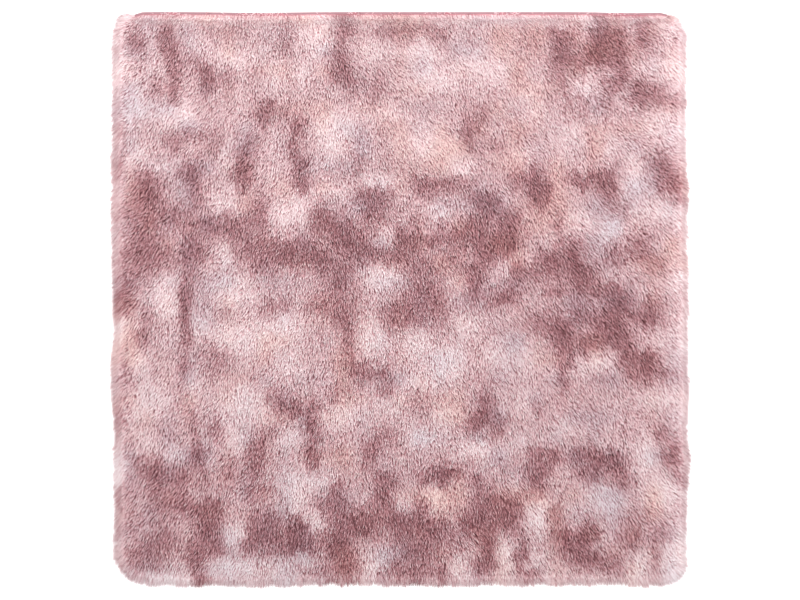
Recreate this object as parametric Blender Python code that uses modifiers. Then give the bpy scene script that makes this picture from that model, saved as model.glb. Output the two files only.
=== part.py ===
"""A square shag rug, laid flat: a lumpy slab of combed pile with locks round its rim, and a bound edge.

Metres, +Z up. The origin is the middle of the underside. +Y is the head edge, which the pile is combed
away from, and -Y is the foot edge, which it is combed towards.
"""

from math import cos, exp, hypot, radians, sin, sqrt

import bmesh
import bpy
from mathutils import Vector, noise

# The whole rug, over the tips of its locks
RUG_WIDTH = 1.200
RUG_LENGTH = 1.200

# Base cloth: how far its bound edge lies inside the tips of the locks
SIDE_FRINGE = 0.019
FOOT_FRINGE = 0.022
CORNER_RADII = {
    "head left": 0.048,
    "head right": 0.046,
    "foot left": 0.070,
    "foot right": 0.052,
}
WAVE_DEPTH = 6  # a wave of the edge dies away inwards with this power

# Binding: a flat tape folded round the edge of the base cloth
BINDING_WIDTH = 0.0060
BINDING_THICKNESS = 0.0034
BINDING_LIFT = 0.0005  # of its underside above the floor
BINDING_CHAMFER = 0.0009
BINDING_SHOWN = 0.0050  # how far the pile stops short of the head edge
HEAD_TURN = (0.55, 0.92)  # the head edge fades out where the corners turn between these shares of +Y
GAP = 0.0003  # between the binding and the pile fabric

# Pile, as combed over
PILE_HEIGHT = 0.0325
SHOULDER_HEIGHT = 0.0150  # at the rim
SHOULDER_WAVE = 0.0020
HEAD_DROP = 0.0040  # how much lower the rim is at the head edge
ROLL_WIDTH = 0.090  # of the band where the pile rolls down to the rim
ROLL_POWER = 1.8
RIPPLE = 0.0030  # small unevenness between the lumps
RIPPLE_SIZE = 0.045
CELLS = 48  # across the slab
EDGE_CROWDING = 0.06  # how much closer the cells lie near the edges

# Comb: the lay of the pile fans out from the middle
FAN_ANGLE = radians(34)
RIM_LEAN = 2.4  # how much a rim lock follows the comb, against pointing straight out

# Rim locks. Each stands on half a cell of the rim, touches the floor at its knee and tapers to a point.
LOCK_KNEE = 0.0085  # how far out the knee is
LOCK_KNEE_HEIGHT = (0.0052, 0.0086)  # lowest and highest
LOCK_TAPER = (0.52, 0.80)  # width at the knee, as a share of the root's
LOCK_SWAY = 0.16  # sideways, as a share of its width
CLUMP_SIZE = 0.035  # over which neighbouring locks reach about as far
SIDE_REACH = (0.0125, 0.0210)  # shortest and longest, past the bound edge
FOOT_REACH = (0.0140, 0.0250)

# Tufts: short locks that lie over the binding at the head edge
TUFT_KNEE = 0.0030
TUFT_KNEE_HEIGHT = (0.0075, 0.0090)
TUFT_REACH = (0.0042, 0.0048)
TUFT_CLEARANCE = 0.0002  # above the ledge
TUFT_PLACES = (-0.485, -0.470, -0.325, -0.300, -0.275, -0.250, -0.095, 0.092, 0.212, 0.236, 0.440, 0.460)

# Where the bound edge bulges out or draws in: side, place along it, half length, how far out
EDGE_WAVES = (
    ("left", 0.500, 0.045, 0.0020),
    ("left", 0.300, 0.050, 0.0045),
    ("left", 0.165, 0.060, 0.0030),
    ("left", -0.060, 0.070, -0.0020),
    ("left", -0.150, 0.045, 0.0045),
    ("left", -0.255, 0.050, -0.0030),
    ("left", -0.430, 0.080, -0.0035),
    ("right", 0.450, 0.070, -0.0030),
    ("right", 0.330, 0.040, -0.0040),
    ("right", 0.245, 0.050, 0.0020),
    ("right", 0.020, 0.070, 0.0030),
    ("right", -0.180, 0.035, 0.0055),
    ("right", -0.325, 0.050, 0.0045),
    ("right", -0.480, 0.060, -0.0020),
    ("foot", -0.350, 0.080, 0.0020),
    ("foot", -0.110, 0.060, -0.0020),
    ("foot", 0.300, 0.060, -0.0020),
    ("head", -0.300, 0.100, -0.0015),
    ("head", 0.480, 0.070, -0.0020),
)

# Lumps of the pile: x, y, half width, half length, rise (a hollow has a negative rise)
LUMPS = (
    (-0.430, 0.520, 0.060, 0.045, 0.0056),
    (-0.275, 0.450, 0.060, 0.045, 0.0048),
    (-0.480, 0.365, 0.055, 0.050, 0.0056),
    (-0.262, 0.310, 0.050, 0.045, 0.0064),
    (0.070, 0.495, 0.120, 0.045, 0.0064),
    (-0.110, 0.350, 0.060, 0.055, 0.0064),
    (0.385, 0.440, 0.060, 0.040, 0.0056),
    (0.530, 0.350, 0.045, 0.050, 0.0048),
    (-0.250, 0.165, 0.060, 0.035, 0.0048),
    (0.390, 0.140, 0.070, 0.032, 0.0064),
    (0.150, 0.025, 0.090, 0.040, 0.0056),
    (-0.270, -0.120, 0.080, 0.070, 0.0064),
    (0.085, -0.140, 0.095, 0.085, 0.0072),
    (0.300, -0.120, 0.070, 0.070, 0.0048),
    (-0.490, -0.290, 0.060, 0.070, 0.0056),
    (0.145, -0.325, 0.055, 0.045, 0.0048),
    (0.500, -0.340, 0.055, 0.060, 0.0056),
    (-0.340, -0.430, 0.045, 0.060, 0.0048),
    (-0.150, -0.455, 0.060, 0.050, 0.0056),
    (0.070, -0.415, 0.045, 0.040, 0.0056),
    (0.285, -0.465, 0.060, 0.045, 0.0064),
    (-0.540, 0.545, 0.040, 0.035, -0.0048),
    (-0.280, 0.385, 0.045, 0.030, -0.0056),
    (-0.100, 0.505, 0.070, 0.050, -0.0056),
    (0.150, 0.350, 0.045, 0.060, -0.0072),
    (0.400, 0.530, 0.110, 0.035, -0.0072),
    (0.525, 0.440, 0.035, 0.040, -0.0048),
    (-0.420, 0.235, 0.090, 0.040, -0.0064),
    (-0.420, 0.090, 0.080, 0.050, -0.0072),
    (0.000, 0.120, 0.120, 0.050, -0.0056),
    (0.430, 0.215, 0.060, 0.035, -0.0064),
    (0.365, 0.065, 0.060, 0.035, -0.0072),
    (-0.105, -0.025, 0.045, 0.050, -0.0064),
    (0.175, -0.225, 0.035, 0.045, -0.0072),
    (0.515, -0.100, 0.045, 0.045, -0.0064),
    (-0.420, -0.400, 0.045, 0.070, -0.0072),
    (-0.050, -0.360, 0.080, 0.035, -0.0056),
    (0.400, -0.350, 0.060, 0.030, -0.0064),
    (-0.265, -0.480, 0.045, 0.045, -0.0056),
    (0.375, -0.520, 0.050, 0.035, -0.0048),
)

# Colours, 8-bit
PILE_PINK = (208, 163, 172)
BINDING_ROSE = (198, 138, 148)

# Bound edge of the base cloth, and the ledge that the pile fabric makes over the binding
LEFT, RIGHT = -RUG_WIDTH / 2 + SIDE_FRINGE, RUG_WIDTH / 2 - SIDE_FRINGE
FOOT, HEAD = -RUG_LENGTH / 2 + FOOT_FRINGE, RUG_LENGTH / 2
LEDGE_HEIGHT = BINDING_LIFT + BINDING_THICKNESS + GAP


def clear_scene():
    for obj in list(bpy.data.objects):
        bpy.data.objects.remove(obj, do_unlink=True)


def linear(colour):
    """Scene-linear RGBA of an 8-bit colour."""
    shares = [value / 255 for value in colour]
    return [s / 12.92 if s < 0.04045 else ((s + 0.055) / 1.055) ** 2.4 for s in shares] + [1.0]


def cloth_material(name, colour, roughness):
    material = bpy.data.materials.new(name)
    material.use_nodes = True
    shader = material.node_tree.nodes["Principled BSDF"]
    shader.inputs["Base Color"].default_value = linear(colour)
    shader.inputs["Roughness"].default_value = roughness
    shader.inputs["Metallic"].default_value = 0.0
    shader.inputs["Sheen Weight"].default_value = 0.3
    return material


def bump_at(place, middle, half_length):
    return exp(-(((place - middle) / half_length) ** 2))


def edge_wave(side, place):
    return sum(out * bump_at(place, at, half) for name, at, half, out in EDGE_WAVES if name == side)


def crowded(share):
    """-1 to 1 across the cells, a little closer together near the edges."""
    return (1 + EDGE_CROWDING) * share - EDGE_CROWDING * share**5


def corner_at(x, y):
    """Radius and centre of the rounded corner in this quarter of the rug."""
    radius = CORNER_RADII[("head " if y > 0 else "foot ") + ("right" if x > 0 else "left")]
    centre_x = RIGHT - radius if x > 0 else LEFT + radius
    centre_y = HEAD - radius if y > 0 else FOOT + radius
    return radius, centre_x, centre_y


def plan_point(u, v):
    """The point of the base cloth at u, v from -1 to 1, with its round corners and uneven edge."""
    x = (LEFT + RIGHT) / 2 + crowded(u) * (RIGHT - LEFT) / 2
    y = (FOOT + HEAD) / 2 + crowded(v) * (HEAD - FOOT) / 2
    radius, centre_x, centre_y = corner_at(x, y)
    side_x, side_y = (1 if x > 0 else -1), (1 if y > 0 else -1)
    out_x, out_y = (x - centre_x) * side_x / radius, (y - centre_y) * side_y / radius
    if out_x > 0 and out_y > 0:
        # A square corner, squeezed into a quarter of a disc
        x = centre_x + side_x * radius * out_x * sqrt(1 - out_y**2 / 2)
        y = centre_y + side_y * radius * out_y * sqrt(1 - out_x**2 / 2)
    wave_x = edge_wave("right" if x > 0 else "left", y) * side_x * abs(u) ** WAVE_DEPTH
    wave_y = edge_wave("head" if y > 0 else "foot", x) * side_y * abs(v) ** WAVE_DEPTH
    return Vector((x + wave_x, y + wave_y, 0))


def depth_inside(x, y):
    """How far a point lies inside the rim of the pile."""
    radius, centre_x, centre_y = corner_at(x, y)
    out_x, out_y = abs(x) - abs(centre_x), abs(y) - abs(centre_y)
    if out_x > 0 and out_y > 0:
        return radius - hypot(out_x, out_y)
    return min(x - LEFT, RIGHT - x, y - FOOT, HEAD - BINDING_SHOWN - y)


def pile_top(x, y):
    share = min(max(depth_inside(x, y), 0) / ROLL_WIDTH, 1)
    roll = (1 - (1 - share) ** ROLL_POWER) ** (1 / ROLL_POWER)
    lumps = sum(
        rise * bump_at(x, at_x, half_width) * bump_at(y, at_y, half_length)
        for at_x, at_y, half_width, half_length, rise in LUMPS
    )
    ripple = RIPPLE * noise.noise(Vector((x, y, 0)) / RIPPLE_SIZE)
    return SHOULDER_HEIGHT + (PILE_HEIGHT - SHOULDER_HEIGHT + lumps + ripple) * roll


def open_rim(bm):
    """The vertices round the open edge of a mesh, anticlockwise from above."""
    edge = next(e for e in bm.edges if e.is_boundary)
    start, vertex = edge.verts
    rim = [start]
    while vertex is not start:
        rim.append(vertex)
        edge = next(e for e in vertex.link_edges if e.is_boundary and e is not edge)
        vertex = edge.other_vert(vertex)
    area = sum(a.co.x * b.co.y - b.co.x * a.co.y for a, b in zip(rim, rim[1:] + rim[:1]))
    return rim if area > 0 else rim[::-1]


def outward(points):
    """The outward direction in plan at each point of an anticlockwise loop."""
    directions = []
    for before, after in zip(points[-1:] + points[:-1], points[1:] + points[:1]):
        along = (after - before).normalized()
        directions.append(Vector((along.y, -along.x, 0)))
    return directions


def head_share(direction):
    """1 where the rim faces the head edge, 0 on the other three sides, and between them in the corners."""
    share = min(max((direction.y - HEAD_TURN[0]) / (HEAD_TURN[1] - HEAD_TURN[0]), 0), 1)
    return share**2 * (3 - 2 * share)


def next_row(bm, row, places):
    """Extrudes an open rim to a new row of vertices at these places."""
    pairs = zip(row, row[1:] + row[:1])
    edges = [next(e for e in a.link_edges if e.other_vert(a) is b) for a, b in pairs]
    made = set(bmesh.ops.extrude_edge_only(bm, edges=edges)["geom"])
    fresh = []
    for vertex, place in zip(row, places):
        new = next(e.other_vert(vertex) for e in vertex.link_edges if e.other_vert(vertex) in made)
        new.co = place
        fresh.append(new)
    return fresh


def at_height(points, height):
    return [Vector((p.x, p.y, height)) for p in points]


def slab_grid(bm):
    """The grid of the slab's top in plan, flat. It returns the bound edge: rim, points and directions."""
    bmesh.ops.create_grid(bm, x_segments=CELLS, y_segments=CELLS, size=1)
    for vertex in bm.verts:
        vertex.co = plan_point(vertex.co.x, vertex.co.y)
    rim = open_rim(bm)
    points = [vertex.co.copy() for vertex in rim]
    return rim, points, outward(points)


def shape_top(bm):
    """Raises the pile. It returns the rim, with two edges to a cell, and for each of its vertices the
    point of the foot that stands inside the binding."""
    rim, points, directions = slab_grid(bm)
    foot_of = {}
    for vertex, point, direction in zip(rim, points, directions):
        vertex.co -= direction * BINDING_SHOWN * head_share(direction)
        foot_of[tuple(vertex.co)] = point - direction * (BINDING_WIDTH + GAP)
    bmesh.ops.subdivide_edges(bm, edges=[e for e in bm.edges if e.is_boundary], cuts=1)
    rim = open_rim(bm)
    foot = [foot_of.get(tuple(vertex.co)) for vertex in rim]
    for i, place in enumerate(foot):
        if place is None:
            foot[i] = (foot[i - 1] + foot[(i + 1) % len(foot)]) / 2
    for vertex in bm.verts:
        vertex.co.z = pile_top(vertex.co.x, vertex.co.y)
    for vertex, direction in zip(rim, outward(foot)):
        wave = SHOULDER_WAVE * noise.noise(vertex.co / RIPPLE_SIZE)
        vertex.co.z = SHOULDER_HEIGHT + wave - HEAD_DROP * head_share(direction)
    return rim, foot


def close_below(bm, rim, foot):
    """The rim wall, the ledge over the binding, the wall inside it and the flat underside."""
    lip = next_row(bm, rim, at_height([v.co for v in rim], LEDGE_HEIGHT))
    ledge = next_row(bm, lip, at_height(foot, LEDGE_HEIGHT))
    base = next_row(bm, ledge, at_height(foot, 0))
    bm.faces.new(base)
    bmesh.ops.recalc_face_normals(bm, faces=bm.faces)
    return lip


def comb_direction(x):
    """The lay of the pile: straight to the foot edge in the middle, fanning out to the sides."""
    angle = FAN_ANGLE * x / (RUG_WIDTH / 2)
    return Vector((sin(angle), -cos(angle), 0))


def fixed_random(number, draw):
    """The same number from 0 to 1 each time for a lock and a draw."""
    return 0.5 + 0.5 * noise.cell(Vector((number * 3.7 + 0.5, draw * 11.3 + 0.5, 0.5)))


def within(limits, share):
    return limits[0] + (limits[1] - limits[0]) * share


def on_rug(place, height):
    """The place at this height, drawn in to the rug's overall width and length."""
    x = max(-RUG_WIDTH / 2, min(RUG_WIDTH / 2, place.x))
    y = max(-RUG_LENGTH / 2, min(RUG_LENGTH / 2, place.y))
    return Vector((x, y, height))


def grow_lock(bm, root, number, knee, knee_heights, floor, reaches):
    """Draws one face of the rim wall out to a knee and then to a point that lies level with it."""
    middle = root.calc_center_median()
    out = Vector((root.normal.x, root.normal.y, 0)).normalized()
    along = Vector((-out.y, out.x, 0))
    lean = out + comb_direction(middle.x) * RIM_LEAN * (1 - max(out.y, 0))
    lean /= lean.dot(out)
    width = max((v.co - middle).dot(along) for v in root.verts) * 2
    sway = along * width * LOCK_SWAY * (2 * fixed_random(number, 1) - 1)
    taper = within(LOCK_TAPER, fixed_random(number, 2))
    knee_height = within(knee_heights, fixed_random(number, 3))
    clump = 0.5 + 0.5 * noise.noise(middle / CLUMP_SIZE)
    reach = within(reaches, (clump + fixed_random(number, 4)) / 2)
    end = bmesh.ops.extrude_discrete_faces(bm, faces=[root])["faces"][0]
    for vertex in end.verts:
        aside = along * (vertex.co - middle).dot(along) * taper
        height = knee_height if vertex.co.z > middle.z else floor
        vertex.co = on_rug(middle + lean * knee + aside + sway / 2, height)
    tip = bmesh.ops.poke(bm, faces=[end])["verts"][0]
    tip.co = on_rug(middle + lean * reach + sway, floor)


def grow_fringe(bm, rim, lip):
    """Locks round the three fringed sides, and the few tufts that lie over the binding at the head."""
    roots = []
    for i, vertex in enumerate(rim):
        corners = {vertex, rim[(i + 1) % len(rim)], lip[i], lip[(i + 1) % len(lip)]}
        roots.append(next(f for f in vertex.link_faces if set(f.verts) == corners))
    tuft_roots = set()
    head = [f for f in roots if head_share(f.normal) == 1]
    for place in TUFT_PLACES:
        tuft_roots.add(min(head, key=lambda f: abs(f.calc_center_median().x - place)))
    for number, root in enumerate(roots):
        if root in tuft_roots:
            floor = LEDGE_HEIGHT + TUFT_CLEARANCE
            grow_lock(bm, root, number, TUFT_KNEE, TUFT_KNEE_HEIGHT, floor, TUFT_REACH)
        elif head_share(root.normal) == 0:
            foot = max(-root.normal.y, 0)
            reaches = [within(pair, foot) for pair in zip(SIDE_REACH, FOOT_REACH)]
            grow_lock(bm, root, number, LOCK_KNEE, LOCK_KNEE_HEIGHT, 0, reaches)


def build_pile(collection):
    bm = bmesh.new()
    rim, foot = shape_top(bm)
    lip = close_below(bm, rim, foot)
    grow_fringe(bm, rim, lip)
    bmesh.ops.triangulate(bm, faces=bm.faces)
    bmesh.ops.recalc_face_normals(bm, faces=bm.faces)
    mesh = bpy.data.meshes.new("shag_pile")
    bm.to_mesh(mesh)
    bm.free()
    mesh.shade_smooth()
    mesh.set_sharp_from_angle(angle=radians(40))
    mesh.materials.append(cloth_material("shag pile", PILE_PINK, 0.9))
    pile = bpy.data.objects.new("shag_pile", mesh)
    collection.objects.link(pile)
    return pile


def build_binding(collection):
    """A flat ring in plan, with Solidify for its thickness and Bevel for its edges."""
    bm = bmesh.new()
    points, directions = slab_grid(bm)[1:]
    bm.clear()
    for inset in (0, BINDING_WIDTH):
        line = at_height([p - d * inset for p, d in zip(points, directions)], BINDING_LIFT)
        verts = [bm.verts.new(point) for point in line]
        for a, b in zip(verts, verts[1:] + verts[:1]):
            bm.edges.new((a, b))
    bmesh.ops.bridge_loops(bm, edges=bm.edges)
    bmesh.ops.recalc_face_normals(bm, faces=bm.faces)
    if sum(face.normal.z for face in bm.faces) < 0:
        bmesh.ops.reverse_faces(bm, faces=bm.faces)
    mesh = bpy.data.meshes.new("edge_binding")
    bm.to_mesh(mesh)
    bm.free()
    mesh.materials.append(cloth_material("binding tape", BINDING_ROSE, 0.75))
    binding = bpy.data.objects.new("edge_binding", mesh)
    collection.objects.link(binding)
    solidify = binding.modifiers.new("tape thickness", "SOLIDIFY")
    solidify.thickness = BINDING_THICKNESS
    solidify.offset = 1
    bevel = binding.modifiers.new("folded edges", "BEVEL")
    bevel.width = BINDING_CHAMFER
    bevel.segments = 1
    bevel.limit_method = "ANGLE"
    bevel.angle_limit = radians(50)
    return binding


def main():
    clear_scene()
    rug = bpy.data.collections.new("shag rug")
    bpy.context.scene.collection.children.link(rug)
    build_pile(rug)
    build_binding(rug)


main()
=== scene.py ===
from math import radians, tau

import bpy
import numpy as np
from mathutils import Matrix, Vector
from mathutils.bvhtree import BVHTree
from mathutils.kdtree import KDTree


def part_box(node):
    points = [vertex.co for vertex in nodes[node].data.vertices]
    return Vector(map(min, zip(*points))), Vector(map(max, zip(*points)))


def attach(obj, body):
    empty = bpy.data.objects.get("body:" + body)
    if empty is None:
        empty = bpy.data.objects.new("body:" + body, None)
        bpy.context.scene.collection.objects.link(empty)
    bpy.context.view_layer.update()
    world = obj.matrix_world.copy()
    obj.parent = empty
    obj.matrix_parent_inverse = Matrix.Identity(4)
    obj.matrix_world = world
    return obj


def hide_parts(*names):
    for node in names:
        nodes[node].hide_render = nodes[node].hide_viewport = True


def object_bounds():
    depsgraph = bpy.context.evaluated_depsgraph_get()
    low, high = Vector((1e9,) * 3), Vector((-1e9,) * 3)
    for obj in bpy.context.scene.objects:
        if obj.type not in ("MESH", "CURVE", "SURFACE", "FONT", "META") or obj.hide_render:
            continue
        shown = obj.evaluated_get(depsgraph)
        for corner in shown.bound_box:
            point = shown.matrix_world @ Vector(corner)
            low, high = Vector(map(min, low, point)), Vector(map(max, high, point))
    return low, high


# A shag rug laid flat, seen from straight above. The solids give its bound edge and the height of its
# pile; this script adds the strands of the pile, their mottled dye, the backing and the edge tape.
# Metres. +Y is the head edge, which the pile is combed away from.

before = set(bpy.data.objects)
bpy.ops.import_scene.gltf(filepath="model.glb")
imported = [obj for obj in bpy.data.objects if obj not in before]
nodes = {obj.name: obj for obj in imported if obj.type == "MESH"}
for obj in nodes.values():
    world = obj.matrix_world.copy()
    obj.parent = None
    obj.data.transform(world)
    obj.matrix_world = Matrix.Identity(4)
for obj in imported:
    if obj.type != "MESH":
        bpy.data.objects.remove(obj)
cadLow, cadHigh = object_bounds()

# another seed gives another pattern of the same kind
seeds = {
    "strands": 5,
    "waves": ((11, 13), (12, 14)),
    "flecks": 15,
    "mottle": 16,
    "swirl": 21,
    "kink": 22,
    "unevenness": 31,
    "tufts": 41,
    "ground": 51,
    "tints": (61, 62),
    "ridges": 71,
    "streaks": 72,
    "gather": (81, 82),
}

noiseCells = 256  # each way, in the grid behind softNoise
mergeWithin = 0.00001  # corners of a solid's loose triangles


def srgb(red, green, blue):
    # 8-bit colour to the linear values that shaders take
    shares = [value / 255 for value in (red, green, blue)]
    return tuple(s / 12.92 if s < 0.04045 else ((s + 0.055) / 1.055) ** 2.4 for s in shares) + (1.0,)


def readCells(cells, index, share):
    # what lies between the four cells around each place
    (iu, iv), (fu, fv) = index.T, share.T
    low = cells[iv, iu] * (1 - fu) + cells[iv, iu + 1] * fu
    high = cells[iv + 1, iu] * (1 - fu) + cells[iv + 1, iu + 1] * fu
    return low * (1 - fv) + high * fv


def softNoise(place, size, seed):
    # smooth noise from -1 to 1 with bumps about this size
    cells = np.random.default_rng(seed).uniform(-1, 1, (noiseCells, noiseCells))
    at = place / size + noiseCells / 2
    index = np.floor(at).astype(int)
    share = at - index
    return readCells(cells, index % (noiseCells - 1), share * share * (3 - 2 * share))


def noiseShift(place, size, pair):
    return np.stack([softNoise(place, size, seed) for seed in pair], 1)


def unit(ways):
    return ways / np.linalg.norm(ways, axis=1)[:, None]


def turnedLeft(ways):
    return np.stack([-ways[:, 1], ways[:, 0]], 1)


def linkObject(name, data):
    obj = bpy.data.objects.new(name, data)
    bpy.context.scene.collection.objects.link(obj)
    return obj


def addValues(mesh, name, values, domain="POINT"):
    layer = mesh.attributes.new(name, "FLOAT", domain)
    layer.data.foreach_set("value", values.astype(np.float32).ravel())


def pickOnly(obj=None):
    bpy.ops.object.select_all(action="DESELECT")
    if obj:
        obj.select_set(True)
        bpy.context.view_layer.objects.active = obj


def pickFaces():
    bpy.ops.mesh.select_all(action="SELECT")


def applyPlace():
    bpy.ops.object.transform_apply(location=True, rotation=True, scale=True)


def addSheet(name, width, length, place):
    pickOnly()
    bpy.ops.mesh.primitive_plane_add(size=1, location=place)
    sheet = bpy.context.object
    sheet.name = name
    sheet.scale = (width, length, 1)
    applyPlace()
    return sheet


def copySolid(node, name, cuts=0):
    # one of the solids, with its loose triangles merged and each edge cut this many times
    piece = linkObject(name, nodes[node].data.copy())
    piece.data.materials.clear()
    pickOnly(piece)
    bpy.ops.object.mode_set(mode="EDIT")
    pickFaces()
    bpy.ops.mesh.remove_doubles(threshold=mergeWithin)
    if cuts:
        bpy.ops.mesh.subdivide(number_cuts=cuts)
    bpy.ops.object.mode_set(mode="OBJECT")
    return piece


class Wire:
    # an output socket, so that shader maths reads as plain expressions
    def __init__(self, paint, socket):
        self.paint, self.socket = paint, socket

    def maths(self, operation, a, b):
        return self.paint.node("ShaderNodeMath", {"operation": operation}, {0: a, 1: b})

    def __add__(self, other):
        return self.maths("ADD", self, other)

    def __sub__(self, other):
        return self.maths("SUBTRACT", self, other)

    def __rsub__(self, other):
        return self.maths("SUBTRACT", other, self)

    def __mul__(self, other):
        return self.maths("MULTIPLY", self, other)

    __radd__, __rmul__ = __add__, __mul__

    def between(self, low, high):
        # 0 below low, 1 above high, smooth from one to the other
        settings = {"interpolation_type": "SMOOTHSTEP"}
        return self.paint.node("ShaderNodeMapRange", settings, {0: self, 1: low, 2: high})


class Paint:
    # one material and its nodes
    def __init__(self, name):
        self.material = bpy.data.materials.new(name)
        self.material.use_nodes = True
        self.tree = self.material.node_tree
        self.shader = self.tree.nodes["Principled BSDF"]

    def node(self, kind, settings, sockets, output=0):
        made = self.tree.nodes.new(kind)
        for name, value in settings.items():
            if name == "stops":
                ramp = made.color_ramp
                while len(ramp.elements) < len(value):
                    ramp.elements.new(0.5)
                for element, (place, colour) in zip(ramp.elements, value):
                    element.position, element.color = place, colour
            else:
                setattr(made, name, value)
        for name, value in sockets.items():
            self.plug(made.inputs[name], value)
        return Wire(self, made.outputs[output])

    def plug(self, socket, value):
        if isinstance(value, Wire):
            self.tree.links.new(value.socket, socket)
        else:
            socket.default_value = value

    def finish(self, **sockets):
        # names of the shader's sockets, with _ for a space
        for name, value in sockets.items():
            self.plug(self.shader.inputs[name.replace("_", " ")], value)
        return self.material

    def attribute(self, name):
        return self.node("ShaderNodeAttribute", {"attribute_name": name}, {}, "Fac")

    def places(self):
        return self.node("ShaderNodeTexCoord", {}, {}, "Object")

    def noise(self, scale, detail=2.0, vector=None):
        sockets = {"Vector": vector or self.places(), "Scale": scale, "Detail": detail}
        return self.node("ShaderNodeTexNoise", {}, sockets, "Fac")

    def wave(self, way, scale, distortion):
        sockets = {"Vector": self.places(), "Scale": scale, "Distortion": distortion}
        return self.node("ShaderNodeTexWave", {"bands_direction": way}, sockets, "Fac")

    def bump(self, height, strength, distance):
        sockets = {"Strength": strength, "Distance": distance, "Height": height}
        return self.node("ShaderNodeBump", {}, sockets, "Normal")

    def ramp(self, factor, stops):
        stops = [(place, srgb(*colour)) for place, *colour in stops]
        return self.node("ShaderNodeValToRGB", {"stops": stops}, {"Fac": factor}, "Color")

    def mix(self, factor, first, second, blend="MIX"):
        settings = {"data_type": "RGBA", "blend_type": blend}
        return self.node("ShaderNodeMix", settings, {0: factor, 6: first, 7: second}, 2)


# the maps of the rug are read from its solids
mapLook = {
    "step": 0.005,  # between the places of a map
    "reach": 0.66,  # a map goes from -reach to reach both ways
    "rays": 1440,  # round the rug, to find its bound edge
    "edgeStep": 0.002,  # between the points of the bound edge
    "edgeSpan": 4,  # points each way that tell the edge's direction
    "rimBand": 0.007,  # the solid's top is read from this far inside the edge
    "rimHeight": 0.014,  # top of the pile where the rays miss it
    "hangOut": 0.020,  # how far past the edge the hanging pile reaches the floor
    "roundness": 1.7,  # above 1 the pile stays high for longer, then rounds off
    "floorGap": 0.0014,  # middle of a lock above the floor
    "softening": 2,  # passes that round off the solid's facets
}
mapPlaces = np.arange(-mapLook["reach"], mapLook["reach"] + 1e-9, mapLook["step"])


def treeOf(obj):
    corners = [vert.co.copy() for vert in obj.data.vertices]
    faces = [tuple(face.vertices) for face in obj.data.polygons]
    return BVHTree.FromPolygons(corners, faces)


def readBoundEdge():
    # rays from outside to the middle meet the binding at the bound edge, then its points are evened out
    tree = treeOf(nodes["edge_binding"])
    low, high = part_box("edge_binding")
    level = (low.z + high.z) / 2
    hits = []
    for turn in np.linspace(0, tau, mapLook["rays"], endpoint=False):
        way = Vector((np.cos(turn), np.sin(turn), 0))
        hit = tree.ray_cast(way + Vector((0, 0, level)), -way)[0]
        hits.append((hit.x, hit.y))
    hits = np.array(hits)
    closed = np.vstack([hits, hits[:1]])
    run = np.concatenate([[0], np.cumsum(np.linalg.norm(np.diff(closed, axis=0), axis=1))])
    even = np.arange(0, run[-1], mapLook["edgeStep"])
    edge = np.stack([np.interp(even, run, closed[:, i]) for i in (0, 1)], 1)
    span = mapLook["edgeSpan"]
    return edge, -turnedLeft(unit(np.roll(edge, -span, axis=0) - np.roll(edge, span, axis=0)))


def softened(values):
    for _ in range(mapLook["softening"]):
        padded = np.pad(values, 1, mode="edge")
        beside = padded[:-2, 1:-1] + padded[2:, 1:-1] + padded[1:-1, :-2] + padded[1:-1, 2:]
        values = (beside + values * 2) / 6
    return values


def mapRug():
    # depth inside the bound edge, the way out to it, and the top of the pile
    edge, outward = readBoundEdge()
    near = KDTree(len(edge))
    for i, (x, y) in enumerate(edge):
        near.insert((x, y, 0), i)
    near.balance()
    tree = treeOf(nodes["shag_pile"])
    size = len(mapPlaces)
    depth, top = np.zeros((size, size)), np.zeros((size, size))
    out = np.zeros((size, size, 2))
    band = mapLook["rimBand"]
    for row, y in enumerate(mapPlaces):
        for column, x in enumerate(mapPlaces):
            i = near.find((x, y, 0))[1]
            way = outward[i]
            inside = (edge[i][0] - x) * way[0] + (edge[i][1] - y) * way[1]
            depth[row, column] = inside
            out[row, column] = way
            # the solid's own top, which rounds off to the floor from a little way in from the edge
            spot = Vector((x, y, 1)) if inside > band else Vector((*(edge[i] - way * band), 1))
            hit = tree.ray_cast(spot, Vector((0, 0, -1)))[0]
            high = hit.z if hit else mapLook["rimHeight"]
            share = min(max((band - inside) / (band + mapLook["hangOut"]), 0), 1)
            low = mapLook["floorGap"]
            top[row, column] = low + (high - low) * (1 - share ** mapLook["roundness"])
    return edge, outward, depth, out, softened(top)


def readMap(values, place):
    at = np.clip((place + mapLook["reach"]) / mapLook["step"], 0, len(mapPlaces) - 1.001)
    index = at.astype(int)
    return readCells(values, index, at - index)


def readOutward(place):
    return np.stack([readMap(outMap[..., i], place) for i in (0, 1)], 1)


boundEdge, edgeOutward, depthMap, outMap, topMap = mapRug()
print("rug maps read:", len(boundEdge), "edge points")


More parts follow.
